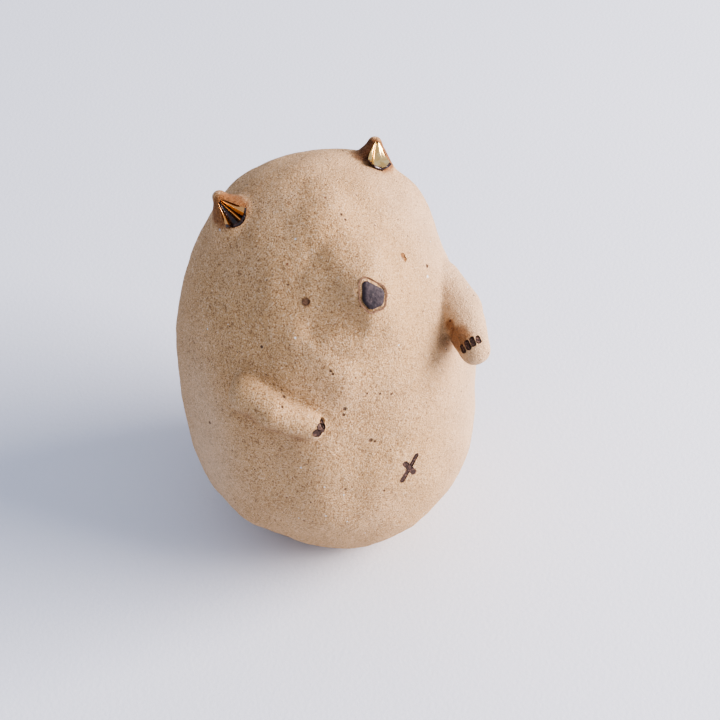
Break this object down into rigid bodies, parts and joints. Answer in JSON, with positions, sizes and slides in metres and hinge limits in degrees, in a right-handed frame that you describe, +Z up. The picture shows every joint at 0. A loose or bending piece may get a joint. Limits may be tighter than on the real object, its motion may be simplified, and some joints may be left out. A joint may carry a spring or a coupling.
{
  "type": "ceramic bear figurine",
  "caption": "Palm-sized hollow stoneware bear with a legless egg-shaped body, pinched gilded ears, a flat dark nose, short arms and a scratched belly cross; stands on a flat foot.",
  "frame": {"origin": "middle of the flat foot, on the surface that the figure stands on", "axes": "+Z up, the face looks along -Y, the bear's left hand is at +X"},
  "size_m": [0.06, 0.0611, 0.0837],
  "materials": {
    "clay": "unglazed sandy grogged stoneware, matte",
    "slate_clay": "unglazed dark slate clay, satin",
    "iron_stain": "matte iron oxide stain",
    "manganese_stain": "matte dark brown oxide stain",
    "brown_glaze": "glossy dark brown glaze",
    "gold_lustre": "mirror-bright fired gold lustre"
  },
  "bodies": {
    "root": {"lower_pot": "clay", "upper_pot": "clay", "seam_coil": "clay", "snout": "clay", "right_ear": "clay", "left_ear": "clay", "right_arm": "clay", "left_arm": "clay", "nose_pad": "slate_clay", "nose_ring_stain": "iron_stain", "right_eye": "iron_stain", "left_eye": "iron_stain", "belly_cross": "manganese_stain", "right_claws": "manganese_stain", "left_claws": "manganese_stain", "right_ear_glaze": "brown_glaze", "left_ear_glaze": "brown_glaze", "right_ear_gold": "gold_lustre", "left_ear_gold": "gold_lustre"}
  },
  "joints": []
}
